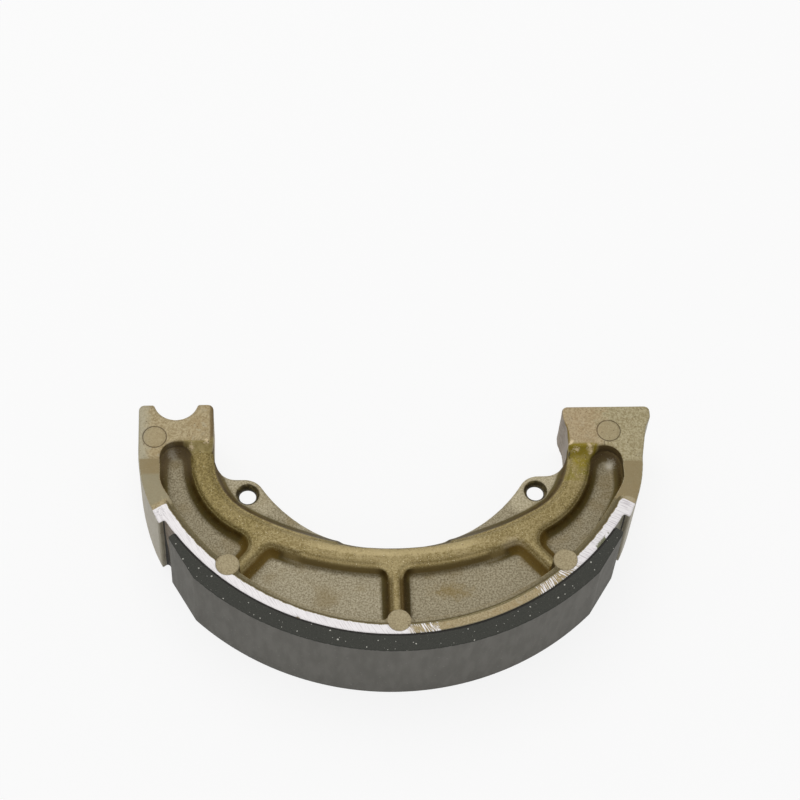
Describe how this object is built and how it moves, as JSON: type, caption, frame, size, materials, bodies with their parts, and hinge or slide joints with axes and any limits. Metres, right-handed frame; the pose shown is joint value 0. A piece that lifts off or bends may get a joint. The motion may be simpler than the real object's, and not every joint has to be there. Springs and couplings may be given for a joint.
{
  "type": "brake shoe",
  "caption": "Curved drum brake shoe: ribbed aluminium casting with an anchor seat, a cam pad and spring lugs, and a bonded friction lining on its outer arc.",
  "frame": {"origin": "on the brake drum's axis, level with the side face that the shoe lies on", "axes": "+Z along the drum's axis and up, -Y through the middle of the shoe's arc, +X towards the cam end, -X towards the anchor end"},
  "size_m": [0.1466, 0.08, 0.029],
  "materials": {
    "casting": "sand-fine die-cast skin, tarnished tan, with a bright machined edge along the rim",
    "lining": "matt moulded friction material, dark grey with pale flecks"
  },
  "bodies": {
    "root": {"shoe_casting": "casting", "friction_lining": "lining"}
  },
  "joints": []
}
